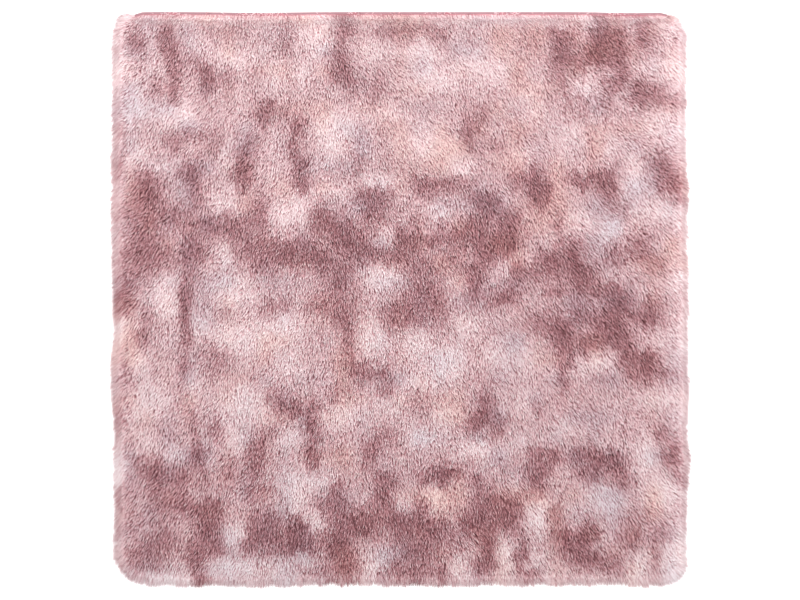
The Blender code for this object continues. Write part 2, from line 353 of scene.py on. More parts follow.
# The mottled dye, charted as soft spots and then corrected: x, y, half width and half
# length in millimetres, then strength in hundredths.
dyeMarks = {
    "darker": (
        # head half, left
        (-555, 540, 22, 28, 45), (-487, 560, 18, 22, 60), (-475, 520, 18, 24, 60), (-470, 455, 16, 42, 50),
        (-405, 475, 24, 18, 65), (-400, 445, 20, 20, 45), (-435, 500, 20, 12, 30), (-510, 440, 22, 20, 30),
        (-360, 455, 22, 30, 20), (-380, 558, 65, 15, 24), (-240, 545, 16, 35, 26), (-120, 562, 26, 24, 55),
        (-130, 510, 18, 26, 50), (-125, 470, 20, 20, 48), (-100, 450, 22, 20, 35), (-50, 455, 22, 20, 30),
        (-55, 420, 14, 22, 30), (-25, 558, 36, 17, 35), (-585, 390, 15, 75, 28), (-285, 385, 16, 28, 60),
        (-270, 412, 12, 12, 35), (-245, 385, 15, 20, 30), (-210, 360, 16, 24, 55), (-227, 320, 14, 26, 50),
        (-205, 275, 18, 30, 60), (-210, 235, 12, 15, 40), (-330, 270, 26, 34, 70), (-312, 318, 24, 28, 35),
        (-475, 325, 22, 20, 40), (-425, 348, 48, 12, 30), (-390, 320, 18, 20, 35), (-435, 265, 22, 30, 60),
        (-420, 215, 20, 30, 40), (-585, 280, 16, 28, 45), (-525, 235, 32, 32, 62), (-540, 155, 46, 75, 52),
        (-470, 180, 35, 30, 45), (-400, 155, 45, 22, 55), (-330, 152, 38, 25, 45), (-290, 190, 20, 38, 50),
        (-440, 100, 20, 45, 55), (-445, 20, 18, 32, 50), (-520, 90, 55, 28, 45), (-575, 30, 25, 40, 50),
        (-290, 100, 45, 35, 60), (-220, 100, 40, 35, 60), (-170, 85, 22, 22, 65), (-170, 165, 24, 35, 50),
        (-125, 145, 30, 40, 65), (-85, 115, 30, 30, 65), (-30, 90, 40, 18, 45), (-50, 205, 40, 32, 50),
        (-65, 165, 18, 20, 40), (-130, 50, 35, 45, 55), (-85, 290, 14, 26, 30), (-30, 275, 30, 20, 10),
        (-5, 125, 20, 38, 50), (-410, 100, 20, 20, 30),
        # head half, right
        (30, 560, 35, 14, 50), (80, 555, 24, 18, 30), (270, 540, 25, 30, 15), (320, 550, 20, 20, 40),
        (345, 530, 20, 30, 65), (320, 500, 20, 28, 60), (370, 490, 30, 18, 50), (395, 515, 16, 25, 55),
        (415, 555, 20, 30, 85), (445, 540, 20, 40, 65), (420, 510, 25, 22, 50), (455, 480, 18, 25, 60),
        (440, 445, 22, 20, 40), (495, 430, 22, 30, 70), (530, 430, 20, 20, 35), (570, 415, 30, 14, 30),
        (500, 550, 20, 32, 50), (325, 445, 18, 25, 25), (340, 410, 12, 20, 30), (380, 400, 16, 20, 25),
        (430, 400, 20, 15, 20), (155, 385, 20, 25, 35), (145, 340, 24, 28, 55), (195, 320, 18, 22, 35),
        (50, 240, 30, 24, 50), (105, 240, 35, 20, 40), (155, 220, 30, 20, 25), (260, 260, 25, 20, 30),
        (285, 225, 20, 28, 80), (280, 260, 20, 18, 45), (235, 245, 20, 16, 30), (382, 250, 32, 20, 80),
        (425, 250, 20, 30, 70), (440, 210, 12, 22, 50), (540, 285, 24, 22, 50), (560, 245, 28, 32, 65),
        (580, 210, 12, 20, 35), (180, 200, 22, 28, 60), (155, 155, 26, 32, 65), (222, 160, 28, 36, 70),
        (190, 120, 35, 28, 70), (120, 135, 25, 26, 45), (225, 125, 22, 22, 55), (165, 80, 22, 28, 55),
        (150, 40, 20, 28, 55), (30, 165, 18, 22, 30), (20, 120, 30, 24, 55), (75, 125, 30, 20, 45),
        (40, 70, 35, 26, 50), (50, 20, 45, 22, 50), (110, 80, 20, 30, 30), (360, 90, 20, 30, 85),
        (378, 50, 30, 32, 85), (315, 80, 24, 30, 75), (340, 122, 20, 14, 30), (240, 55, 35, 24, 55),
        (220, 12, 40, 16, 40), (280, 65, 20, 22, 35), (450, 90, 30, 22, 40), (500, 110, 26, 30, 45),
        (535, 75, 30, 22, 25), (430, 15, 45, 18, 60), (325, 160, 12, 30, 30), (468, 190, 10, 30, 25),
        (320, 15, 26, 22, 50),
        # foot half, left
        (-575, -5, 30, 20, 40), (-525, -40, 18, 25, 25), (-535, -75, 18, 16, 30), (-450, -30, 12, 40, 45),
        (-445, -80, 12, 25, 40), (-455, -140, 14, 30, 35), (-400, -110, 24, 18, 20), (-375, -132, 28, 26, 20),
        (-570, -160, 20, 40, 25), (-590, -240, 25, 40, 30), (-260, -12, 38, 18, 30), (-170, -10, 30, 22, 35),
        (-115, -30, 24, 35, 52), (-110, -90, 18, 35, 38), (-90, -140, 26, 20, 45), (-50, -150, 32, 14, 45),
        (-35, -185, 18, 20, 30), (-20, -30, 22, 30, 40), (-135, -190, 30, 22, 20), (-255, -205, 22, 22, 50),
        (-225, -225, 22, 22, 50), (-185, -218, 20, 14, 45), (-185, -260, 14, 34, 65),
        (-185, -320, 18, 30, 60), (-470, -275, 26, 18, 15), (-430, -255, 12, 28, 35),
        (-380, -265, 14, 24, 30), (-425, -320, 18, 24, 55), (-405, -360, 14, 24, 40),
        (-300, -310, 18, 34, 50), (-300, -360, 20, 25, 35), (-270, -280, 14, 22, 25),
        (-350, -360, 30, 30, 20), (-550, -310, 22, 20, 30), (-540, -345, 24, 22, 35),
        (-500, -360, 28, 34, 50), (-455, -370, 20, 30, 40), (-575, -400, 30, 30, 28),
        (-560, -460, 30, 35, 22), (-540, -530, 36, 30, 40), (-500, -420, 32, 36, 35),
        (-490, -500, 34, 36, 35), (-445, -425, 28, 22, 50), (-390, -430, 30, 22, 60),
        (-405, -470, 24, 28, 65), (-385, -512, 22, 24, 45), (-425, -535, 22, 34, 60),
        (-415, -575, 20, 20, 60), (-300, -400, 30, 20, 30), (-280, -460, 40, 32, 50),
        (-300, -500, 26, 28, 50), (-240, -500, 32, 28, 45), (-210, -475, 24, 30, 70),
        (-190, -510, 26, 20, 60), (-330, -530, 20, 20, 30), (-165, -420, 20, 22, 30),
        (-130, -400, 22, 26, 45), (-120, -450, 30, 32, 65), (-130, -500, 30, 30, 60), (-70, -460, 30, 34, 75),
        (-35, -375, 30, 24, 55), (-35, -415, 22, 24, 65), (-65, -310, 24, 28, 45), (-35, -285, 34, 22, 30),
        (-10, -460, 22, 35, 50), (-20, -560, 22, 30, 50), (-110, -555, 26, 30, 60), (-155, -560, 22, 20, 50),
        (-200, -565, 25, 12, 25),
        # foot half, right
        (50, -20, 45, 30, 45), (10, -30, 20, 30, 30), (190, 0, 50, 15, 35), (280, -45, 28, 28, 35),
        (325, -60, 22, 35, 65), (345, -80, 14, 40, 60), (335, -150, 14, 30, 45), (370, -30, 22, 28, 55),
        (385, -90, 28, 22, 50), (450, -25, 30, 34, 85), (410, -35, 18, 22, 50), (430, -65, 28, 26, 75),
        (460, -90, 22, 24, 60), (475, -125, 20, 22, 60), (510, -30, 30, 32, 65), (515, -120, 22, 24, 75),
        (510, -160, 18, 24, 50), (555, -150, 30, 18, 35), (440, -165, 40, 14, 12), (175, -215, 20, 28, 60),
        (155, -250, 24, 22, 55), (205, -260, 22, 22, 40), (180, -175, 16, 16, 20), (35, -220, 24, 22, 12),
        (280, -220, 18, 16, 25), (70, -362, 45, 22, 60), (105, -350, 22, 18, 50), (290, -330, 30, 22, 50),
        (320, -320, 14, 20, 45), (280, -370, 26, 26, 50), (380, -320, 30, 20, 70), (430, -330, 30, 22, 70),
        (455, -360, 18, 30, 50), (390, -360, 32, 18, 35), (540, -275, 24, 20, 35), (565, -320, 22, 28, 65),
        (575, -370, 14, 20, 40), (160, -370, 20, 20, 45), (175, -420, 30, 34, 60), (225, -420, 24, 28, 55),
        (215, -460, 28, 24, 65), (150, -460, 32, 26, 60), (180, -510, 18, 34, 65), (170, -555, 22, 28, 50),
        (35, -430, 18, 20, 35), (30, -470, 40, 26, 60), (80, -475, 22, 24, 45), (40, -520, 40, 26, 55),
        (110, -500, 28, 24, 28), (30, -565, 40, 22, 55), (85, -570, 20, 20, 55), (250, -520, 12, 34, 60),
        (265, -570, 26, 15, 45), (330, -480, 22, 22, 40), (355, -505, 30, 30, 80), (390, -480, 26, 24, 60),
        (390, -540, 34, 26, 65), (440, -550, 30, 24, 50), (500, -450, 22, 16, 15), (480, -490, 30, 22, 32),
        (540, -490, 28, 24, 25), (535, -540, 12, 30, 30), (320, -440, 20, 22, 30),
    ),
    "paler": (
        # head half, left
        (-430, 535, 30, 18, 20), (-340, 500, 45, 25, 30), (-178, 545, 28, 48, 45), (-60, 515, 35, 18, 45),
        (-260, 460, 20, 35, 35), (-200, 460, 16, 30, 30), (-470, 380, 45, 22, 45), (-550, 400, 30, 40, 35),
        (-550, 300, 22, 22, 40), (-490, 280, 30, 10, 40), (-140, 360, 40, 30, 55), (-140, 310, 35, 25, 40),
        (-35, 385, 50, 18, 40), (-260, 250, 18, 26, 15), (-360, 290, 14, 40, 30), (-360, 210, 22, 22, 45),
        (-235, 178, 38, 28, 70), (-150, 225, 40, 12, 30), (-40, 245, 50, 10, 50), (-365, 90, 14, 26, 45),
        (-340, 20, 45, 30, 35), (-490, 20, 25, 30, 50), (-45, 45, 36, 24, 40), (-20, 135, 20, 12, 40),
        (-500, 470, 20, 14, 25), (-575, 480, 15, 30, 25),
        # head half, right
        (560, 565, 18, 18, 30), (40, 510, 45, 22, 45), (60, 450, 50, 34, 50), (170, 475, 50, 32, 45),
        (180, 583, 80, 10, 15), (60, 320, 60, 35, 45), (130, 275, 28, 14, 55), (80, 175, 18, 16, 50),
        (15, 155, 12, 10, 30), (350, 340, 30, 25, 35), (440, 312, 24, 24, 28), (330, 290, 18, 22, 20),
        (385, 440, 24, 16, 50), (385, 575, 14, 12, 25), (480, 250, 18, 50, 45), (520, 180, 38, 24, 35),
        (550, 360, 50, 30, 35), (565, 480, 26, 26, 45), (430, 145, 26, 20, 55), (370, 165, 25, 20, 30),
        (215, 60, 16, 16, 45), (570, 40, 18, 30, 30), (275, 410, 24, 50, 30), (250, 300, 20, 20, 25),
        (575, 165, 14, 22, 25), (103, 30, 16, 30, 25), (510, 475, 20, 20, 20),
        # foot half, left
        (-485, -20, 26, 18, 50), (-420, -60, 22, 22, 35), (-360, -80, 34, 26, 40), (-300, -85, 30, 45, 40),
        (-235, -60, 30, 35, 55), (-235, -140, 32, 35, 40), (-60, -80, 30, 32, 50), (-540, -140, 20, 30, 35),
        (-520, -215, 38, 34, 45), (-430, -180, 22, 18, 40), (-330, -220, 55, 35, 40),
        (-230, -290, 20, 30, 30), (-120, -240, 45, 26, 45), (-20, -220, 30, 20, 25), (-530, -300, 22, 20, 35),
        (-470, -320, 20, 16, 35), (-340, -290, 20, 30, 30), (-220, -400, 30, 40, 40),
        (-175, -375, 30, 20, 45), (-180, -460, 18, 18, 55), (-345, -485, 16, 22, 55),
        (-340, -550, 45, 26, 50), (-260, -555, 50, 20, 20), (-190, -535, 25, 12, 40), (-55, -545, 32, 24, 30),
        (-480, -580, 40, 14, 40), (-590, -355, 14, 50, 40), (-580, -70, 16, 30, 20),
        # foot half, right
        (30, -90, 30, 24, 40), (90, -130, 45, 35, 50), (140, -60, 30, 25, 30), (190, -125, 24, 26, 28),
        (240, -120, 40, 40, 30), (415, -130, 22, 22, 50), (375, -140, 20, 20, 30), (530, -75, 20, 20, 25),
        (575, -100, 15, 25, 30), (540, -210, 40, 20, 45), (50, -175, 40, 20, 35), (90, -240, 28, 28, 40),
        (50, -285, 35, 18, 40), (155, -310, 40, 18, 45), (250, -220, 20, 30, 25), (240, -290, 25, 20, 30),
        (75, -410, 20, 20, 45), (0, -420, 18, 16, 30), (505, -330, 22, 45, 50), (540, -400, 45, 30, 45),
        (285, -455, 20, 34, 60), (420, -420, 40, 30, 40), (215, -530, 18, 26, 50), (120, -555, 20, 24, 35),
        (285, -540, 18, 30, 20), (490, -550, 22, 28, 50), (570, -540, 30, 45, 50), (420, -500, 16, 14, 25),
        (340, -270, 20, 20, 20),
    ),
}

dyeLook = {
    "middle": 0.66,  # 0 is the darkest dye and 1 the palest
    "softLimit": 0.52,  # what the marks on one place may add up to
    "waves": ((0.022, 0.008), (0.009, 0.004)),  # in the marks' outlines: how long, how far out
    "flatness": 1.25,  # above 1 a mark is even in its middle and falls off faster
    # strength, and how far a mark goes towards the head and towards the foot: a dark one is sharper on the
    # side that the pile comes from
    "darker": (-0.92, 0.85, 1.15),
    "paler": (0.75, 1.15, 0.85),
    "paintedLightSlope": 0.08,  # painted light: paler by this for each metre towards the head, where the lamp stands
    "headPaler": 0.15,  # behind the head edge
    # painted light along the foot edge, which lies away from the lamp
    "footPaintedLight": 0.11,
    "sidePaler": 0.10,  # along the left and right edges
    "edgeBand": 0.034,
    "flecks": 0.03,
    "fleckSize": 0.012,
    "mottle": 0.05,  # of the smaller clouds between the marks
    "mottleSize": 0.030,
    "mottleDraw": 0.7,  # below 1 these clouds are longer than they are wide
    "streak": 0.010,  # how far a lock's dye may run along its lay
    "streakSize": 0.009,
    "streakMix": 0.45,  # how much of this differs from strand to strand
    "tints": ((0.105, 0.45), (0.040, 0.55)),  # clouds of warmer and cooler dye: size and share
}


def marksAt(place):
    # how much darker or paler the marks make each place
    look = dyeLook
    moved = place
    for (size, far), pair in zip(look["waves"], seeds["waves"]):
        moved = moved + far * noiseShift(place, size, pair)
    total = np.zeros(len(place))
    for kind, marks in dyeMarks.items():
        scale, above, below = look[kind]
        for mark in marks:
            middle, half, strength = np.array(mark[:2]) / 1000, np.array(mark[2:4]) / 1000, mark[4] / 100
            across, along = ((moved - middle) / half).T
            along = np.where(along > 0, along / above, along / below)
            total += scale * strength * np.exp(-((across**2 + along**2) ** look["flatness"]))
    limit = look["softLimit"]
    return limit * np.tanh(total / limit)


def dyeAt(place):
    look = dyeLook
    total = marksAt(place)
    out = readOutward(place)
    band = np.exp(-(np.maximum(readMap(depthMap, place), 0) / look["edgeBand"]) ** 2)
    total += band * look["headPaler"] * np.clip(out[:, 1], 0, 1) ** 4
    total += band * look["footPaintedLight"] * np.clip(-out[:, 1], 0, 1) ** 4
    total += band * look["sidePaler"] * out[:, 0] ** 2
    flecks = look["flecks"] * softNoise(place, look["fleckSize"], seeds["flecks"])
    # painted light: paler towards the head; the flecks are the dye's own
    total += look["paintedLightSlope"] * place[:, 1] + flecks
    drawn = place * (1, look["mottleDraw"])
    total += look["mottle"] * softNoise(drawn, look["mottleSize"], seeds["mottle"])
    return np.clip(look["middle"] + total, 0, 1)


combLook = {
    "lean": radians(5),  # lay of the pile in the middle, from straight towards the foot edge
    "fan": radians(46),  # how much more it turns outwards a metre further to the side
    "headTurn": radians(17),  # how much further it turns to the right near the head edge
    "headBand": 0.33,
    "headSpread": 1.6,  # radians of a cosine that ends this turn at the sides
    "swirl": radians(14),
    "swirlSize": 0.055,
    "kink": radians(9),  # from one lock to the next
    "kinkSize": 0.013,
    "stray": radians(8),  # from one strand to the next
    "outTurn": 0.55,  # how much the rim's strands turn outwards
    "outBand": 0.020,
    "outUntil": 0.92,  # they don't where the edge faces the head by more than this
    "outFade": 0.3,
    "cornerTurn": 1.6,
    "cornerBand": 0.008,
}


def layDirection(place, rng):
    # unit vectors in plan, along which the strands lie
    look = combLook
    x, y = place.T
    head = np.exp(-((boundEdge[:, 1].max() - y) / look["headBand"]) ** 2)
    angle = look["lean"] + look["fan"] * x
    angle += look["headTurn"] * head * np.cos(x / cadHigh.x * look["headSpread"]) ** 2
    angle += look["swirl"] * softNoise(place, look["swirlSize"], seeds["swirl"])
    angle += look["kink"] * softNoise(place, look["kinkSize"], seeds["kink"])
    angle += look["stray"] * rng.normal(size=len(x))
    out = readOutward(place)
    depth = np.maximum(readMap(depthMap, place), 0)
    turn = look["outTurn"] * np.exp(-(depth / look["outBand"]) ** 2)
    turn *= np.clip((look["outUntil"] - out[:, 1]) / look["outFade"], 0, 1)
    corner = (2 * np.abs(out[:, 0] * out[:, 1])) ** 2
    turn += look["cornerTurn"] * corner * np.exp(-(depth / look["cornerBand"]) ** 2)
    return unit(np.stack([np.sin(angle), -np.cos(angle)], 1) + out * turn[:, None])


strandLook = {
    "sides": 3,
    "flatness": 0.75,  # of a strand, as a share of its width
    "curl": 0.13,  # of a tip aside, as a share of the length
    "tipJitter": 0.0008,
    "clear": 0.0003,  # of every corner, above the floor
    "tipClear": 0.0010,
    "lockWidth": 0.0018,  # of the ridges that neighbouring strands form
    "lockLength": 0.0026,
    "lockSteps": 5,  # places along a ridge that are averaged
    "lockGap": 0.0022,  # from a ridge to the slit beside it
    "ridge": 0.0011,  # height of these ridges
    "ridgeAt": 0.6,  # where along a strand its ridge is read
    "rise": 0.0006,  # of the tips, from strand to strand
    "unevenness": 0.0006,  # and from tuft to tuft
    "tuftSize": 0.011,
    "gather": 0.0007,  # how far the tips of neighbours draw together
    "gatherSize": 0.0080,
    "mixSize": 0.006,  # pale and dark strands are mixed within this
    "mixCells": 400,  # across, which is wider than the rug
    # painted light and shade: strands on a ridge are paler, those in the slit beside it darker
    "ridgeLitAndShaded": 0.10,
    "strandTone": 0.20,
    "darkTail": (0.45, 0.78),  # most strands are a little paler and a few much darker
    "slitShade": 0.45,  # painted shade: how much darker the strands in the deepest slits are
    "slitFrom": 1.0,
    "toneLimits": (-0.7, 0.5),
    "mapMargin": 0.06,  # round a strand's place in its square of the map
    "mapSide": 0.88,
}


def modelStrand():
    # an open three-sided spike, from its root at the origin to its tip at a height of 1
    pickOnly()
    bpy.ops.mesh.primitive_cone_add(
        vertices=strandLook["sides"], radius1=1, radius2=0, depth=1,
        end_fill_type="NOTHING", location=(0, 0, 0.5),
    )
    strand = bpy.context.object
    strand.name = "strandPattern"
    applyPlace()
    return strand


def ridgesAt(place, lay):
    # noise drawn out along the lay, less its mean on both sides: high on a lock, low in the slit beside it
    look, side = strandLook, turnedLeft(lay)
    total = np.zeros(len(place))
    for aside, weight in ((0, 1), (-1, -0.5), (1, -0.5)):
        for step in np.linspace(-1, 1, look["lockSteps"]):
            seen = place + lay * step * look["lockLength"] + side * aside * look["lockGap"]
            total += weight * softNoise(seen, look["lockWidth"], seeds["ridges"])
    return total / total.std()


def evened(values, place):
    # takes away the mean of a strand's neighbours, so that pale and dark ones stay mixed
    cells = strandLook["mixCells"]
    cell = np.floor(place / strandLook["mixSize"]).astype(int) + cells // 2
    index = cell[:, 0] * cells + cell[:, 1]
    mean = np.bincount(index, values) / np.maximum(np.bincount(index), 1)
    return values - mean[index]


rimLook = {
    "step": 0.0008,  # along the edge
    # depth inside the edge, height of the root
    "rows": ((0.0058, 0.010), (0.0046, 0.009), (0.0034, 0.008), (0.0022, 0.007), (0.0008, 0.006)),
    "length": (0.022, 0.042),
    "width": (0.00085, 0.00145),
    # how far the longest tips lie past the bound edge, for the way in degrees that the edge faces
    "reach": (
        (0, 0.030), (45, 0.025), (90, 0.012), (120, 0.031), (150, 0.040),
        (180, 0.041), (225, 0.044), (270, 0.033), (315, 0.048), (360, 0.030),
    ),
    "uneven": 0.027,  # how much less the shortest ones reach
    "tufts": 0.40,  # share of this that runs from tuft to tuft
    "tuftSize": 0.014,
    "longer": 0.7,  # below 1 fewer tips reach far out
    "depthJitter": 0.0004,
    "heightJitter": 0.0015,
    # painted shade: the hanging strands are darkened, as they lie in more light than the pile
    "tone": -0.24,
    "start": 0.45,  # how far from its root's colour a strand starts
}


class Strands:
    # where many strands stand and how they lie
    def __init__(self, rng):
        self.rng = rng
        self.batches = []

    def add(self, place, length, rootHeight, width, lay=None, rise=0.0, tone=0.0, start=0.0):
        count = len(place)
        if lay is None:
            lay = layDirection(place, self.rng)
            length = np.minimum(length, self.roomFor(place, lay))
        width = self.rng.uniform(*width, count)
        shared = [np.full(count, value) for value in (rise, tone, start)]
        self.batches.append((place, lay, length, rootHeight, width, *shared))

    def roomFor(self, place, lay):
        # the tips end a little past the bound edge, and a strand that lies inwards has a metre
        look, out = rimLook, readOutward(place)
        tufts = 0.5 + 0.5 * softNoise(place, look["tuftSize"], seeds["tufts"])
        strays = self.rng.uniform(0, 1, len(place)) ** look["longer"]
        share = look["tufts"] * tufts + (1 - look["tufts"]) * strays
        facing = np.degrees(np.arctan2(out[:, 1], out[:, 0])) % 360
        reach = np.interp(facing, *zip(*look["reach"])) - look["uneven"] * share
        outwards = (lay * out).sum(1)
        room = (readMap(depthMap, place) + reach) / np.maximum(outwards, 0.05)
        return np.where(outwards > 0, room, 1.0)

    def ends(self):
        # the root and the tip of each strand, its width, and what its colour needs
        joined = [np.concatenate(part) for part in zip(*self.batches)]
        place, lay, length, rootHeight, width, rise, tone, start = joined
        look, rng = strandLook, self.rng
        count = len(place)
        curl = rng.normal(0, look["curl"], count) * length
        drawn = look["gather"] * noiseShift(place, look["gatherSize"], seeds["gather"])
        drawn += rng.normal(0, look["tipJitter"], (count, 2))
        ridge = ridgesAt(place + lay * (length * look["ridgeAt"])[:, None], lay)
        lifted = rise + look["ridge"] * ridge + look["rise"] * rng.normal(size=count)
        tip = place + lay * length[:, None] + turnedLeft(lay) * curl[:, None] + drawn
        top = readMap(topMap, tip) + lifted
        top += look["unevenness"] * softNoise(tip, look["tuftSize"], seeds["unevenness"])
        top = np.maximum(top, look["tipClear"])
        low = np.minimum(rootHeight, readMap(topMap, place))
        ends = np.stack([np.column_stack([place, low]), np.column_stack([tip, top])], 1)
        middle, spread = look["darkTail"]
        uneven = evened(middle - spread * rng.gumbel(size=count), place)
        # painted light and shade on the ridges and in the slits, over a tone that differs at random
        tone = tone + look["ridgeLitAndShaded"] * ridge + look["strandTone"] * uneven
        tone -= look["slitShade"] * np.maximum(-ridge - look["slitFrom"], 0)
        values = {"dye": self.dyeOf(place, lay, length), "tint": self.tintOf(place)}
        values.update({"tone": np.clip(tone, *look["toneLimits"]), "start": start})
        return ends, width, values

    def dyeOf(self, place, lay, length):
        # a strand carries one dye, so that pale ones end in clear tips over a dark patch
        uneven = softNoise(place, dyeLook["streakSize"], seeds["streaks"])
        uneven += dyeLook["streakMix"] * self.rng.normal(size=len(place))
        return dyeAt(place + lay * (length * 0.5 + dyeLook["streak"] * uneven)[:, None])

    def tintOf(self, place):
        clouds = zip(dyeLook["tints"], seeds["tints"])
        return sum(share * softNoise(place, size, seed) for (size, share), seed in clouds)


fieldLook = {
    "reach": 0.61,  # of the rows, both ways
    "pitch": 0.00231,  # between neighbouring strands
    "rowShare": 0.866,  # between rows, as a share of the pitch
    "jitter": 0.22,
    "length": (0.0060, 0.0110),
    "width": (0.00120, 0.00190),  # half width of a strand at its root
    "rootDrop": 0.011,  # of the roots below the top of the pile
    "lowestRoot": 0.003,
    "inside": 0.0015,  # of the outermost roots, from the bound edge
    "insideHead": 0.0085,
    "headFacing": 0.8,
    "pieces": 5,
    "darkShare": 0.06,  # sparse dark strands, painted shade that shows as slits between the locks
    "darkWidth": (0.00090, 0.00130),
    "darkRise": 0.0010,
    "slitShadeTone": -0.45,
}


def fieldStrands(rng):
    # even rows, every other one shifted, then jittered
    look = fieldLook
    pitch, reach = look["pitch"], look["reach"]
    places = []
    for number, y in enumerate(np.arange(-reach, reach, pitch * look["rowShare"])):
        row = np.arange(-reach, reach, pitch) + pitch / 2 * (number % 2)
        places.append(np.stack([row, np.full(len(row), y)], 1))
    places = np.concatenate(places)
    places += rng.normal(0, pitch * look["jitter"], places.shape)
    atHead = readOutward(places)[:, 1] > look["headFacing"]
    inside = np.where(atHead, look["insideHead"], look["inside"])
    places = places[readMap(depthMap, places) > inside]
    roots = np.maximum(readMap(topMap, places) - look["rootDrop"], look["lowestRoot"])
    lengths = rng.uniform(*look["length"], len(places))
    dark = rng.uniform(size=len(places)) < look["darkShare"]
    strands = Strands(rng)
    strands.add(places[~dark], lengths[~dark], roots[~dark], look["width"])
    strands.add(
        places[dark], lengths[dark], roots[dark], look["darkWidth"],
        rise=look["darkRise"], tone=look["slitShadeTone"],
    )
    return strands


# low strands behind the head edge
headLook = {
    "step": 0.0011,
    "rows": ((0.0054, 0.004), (0.0070, 0.007), (0.0086, 0.010)),
    "length": (0.012, 0.026),
    "width": (0.00060, 0.00100),
    "facing": 0.88,  # the edge is the head edge where it faces +Y by more than this
    # painted shade: these strands face the lamp and are darkened to match the pile
    "tone": -0.49,
    "start": 0.60,
}


def rimStrands(rng):
    # hanging strands on three sides, and low ones behind the head edge
    strands = Strands(rng)
    steps = mapLook["edgeStep"]
    for look, atHead in ((rimLook, False), (headLook, True)):
        for inside, height in look["rows"]:
            spots = np.arange(0, len(boundEdge) * steps, look["step"])
            spots += rng.uniform(-0.5, 0.5, len(spots)) * look["step"]
            index = np.clip((spots / steps).astype(int), 0, len(boundEdge) - 1)
            index = index[(edgeOutward[index, 1] > headLook["facing"]) == atHead]
            depth = inside + rng.normal(0, rimLook["depthJitter"], len(index))
            place = boundEdge[index] - edgeOutward[index] * depth[:, None]
            place += turnedLeft(edgeOutward[index]) * (rng.uniform(-0.5, 0.5, len(index)) * steps)[:, None]
            jitter = rimLook["heightJitter"]
            heights = height + rng.uniform(-jitter, jitter, len(index))
            lengths = rng.uniform(*look["length"], len(index))
            strands.add(place, lengths, heights, look["width"], tone=look["tone"], start=look["start"])
    addFluff(strands, rng)
    return strands


# small pale tufts that stray over the head edge
fluffLook = {
    "facing": 0.5,  # of the edge to the head, where it may have fluff
    "places": (-0.485, -0.47, -0.325, -0.3, -0.275, -0.25, -0.095, 0.092, 0.212, 0.236, 0.44, 0.46),
    "each": 16,
    "spread": 0.009,
    "loose": 50,
    "margin": 0.06,  # kept free of loose ones at both ends
    "depth": (0.004, 0.009),
    "length": (0.006, 0.013),
    "turn": 1.0,  # radians, from straight towards the head
    "forwards": 0.8,  # below 1 they lie more along the edge
    "root": 0.007,
    "rise": -0.002,
    "tone": -0.1,
}


def addFluff(strands, rng):
    look = fluffLook
    places = [atX + rng.normal(0, look["spread"], look["each"]) for atX in look["places"]]
    loose = rng.uniform(cadLow.x + look["margin"], cadHigh.x - look["margin"], look["loose"])
    x = np.concatenate(places + [loose])
    head = boundEdge[edgeOutward[:, 1] > look["facing"]]
    head = head[np.argsort(head[:, 0])]
    y = np.interp(x, head[:, 0], head[:, 1]) - rng.uniform(*look["depth"], len(x))
    turn = rng.normal(0, look["turn"], len(x))
    lay = unit(np.stack([np.sin(turn), np.cos(turn) * look["forwards"]], 1))
    length = rng.uniform(*look["length"], len(x))
    roots = np.full(len(x), look["root"])
    place = np.stack([x, y], 1)
    strands.add(place, length, roots, headLook["width"], lay=lay, rise=look["rise"], tone=look["tone"])


def sidesAround(mesh):
    # for each corner of the pattern's faces, how far round the strand it is, from 0 to 1
    turns = []
    halfSide = 0.5 / strandLook["sides"]
    for face in mesh.polygons:
        middle = np.arctan2(face.center.y, face.center.x) % tau
        for index in face.vertices:
            x, y, _ = mesh.vertices[index].co
            offset = 0.0  # the tip lies on the axis
            if x * x + y * y > 1e-6:
                offset = (np.arctan2(y, x) - middle + tau / 2) % tau - tau / 2
            turns.append(((middle + offset) / tau - halfSide) % 1.0001)  # the last side may end at 1
    return np.array(turns)


def laidCopies(corners, ends, width):
    # the corners of every copy of the pattern, laid from its own root to its own tip
    ahead = ends[:, 1] - ends[:, 0]
    across = unit(np.cross(ahead, (0, 0, 1)))
    above = np.cross(across, ahead)
    above *= strandLook["flatness"] / np.linalg.norm(above, axis=1)[:, None]
    aside = corners[None, :, 0, None] * across[:, None] + corners[None, :, 1, None] * above[:, None]
    points = ends[:, :1] + corners[None, :, 2, None] * ahead[:, None] + aside * width[:, None, None]
    points[..., 2] = np.maximum(points[..., 2], strandLook["clear"])
    return points


def joinCopies(name, pattern, ends, width, values):
    # all the copies in one mesh, with what their dye needs
    mesh = pattern.data
    corners = np.array([vert.co for vert in mesh.vertices])
    faces = [list(face.vertices) for face in mesh.polygons]
    copies, size = len(ends), len(corners)
    flat = np.concatenate(faces)
    loops = (flat[None] + (np.arange(copies) * size)[:, None]).ravel()
    sizes = np.tile([len(face) for face in faces], copies)
    made = bpy.data.meshes.new(name)
    made.vertices.add(copies * size)
    made.vertices.foreach_set("co", laidCopies(corners, ends, width).astype(np.float32).ravel())
    made.loops.add(len(loops))
    made.loops.foreach_set("vertex_index", loops.astype(np.int32))
    made.polygons.add(len(sizes))
    made.polygons.foreach_set("loop_start", np.concatenate([[0], np.cumsum(sizes)[:-1]]).astype(np.int32))
    made.update(calc_edges=True)
    made.shade_flat()
    for key in ("dye", "tint", "tone"):
        addValues(made, key, np.repeat(values[key], size))
    start = values["start"][:, None]
    addValues(made, "along", start + (1 - start) * corners[None, :, 2])
    turns = sidesAround(mesh)
    addValues(made, "around", np.tile(turns, copies), "CORNER")
    # a square of the map for each strand, its sides next to each other
    margin, side = strandLook["mapMargin"], strandLook["mapSide"]
    rows = int(np.ceil(np.sqrt(copies)))
    cell = np.arange(copies)
    u = (cell % rows)[:, None] + margin + side * turns[None]
    v = (cell // rows)[:, None] + margin + side * corners[flat, 2][None]
    uv = np.stack([u.ravel(), v.ravel()], 1) / rows
    made.uv_layers.new(name="OFBake").data.foreach_set("uv", uv.astype(np.float32).ravel())
    return linkObject(name, made)


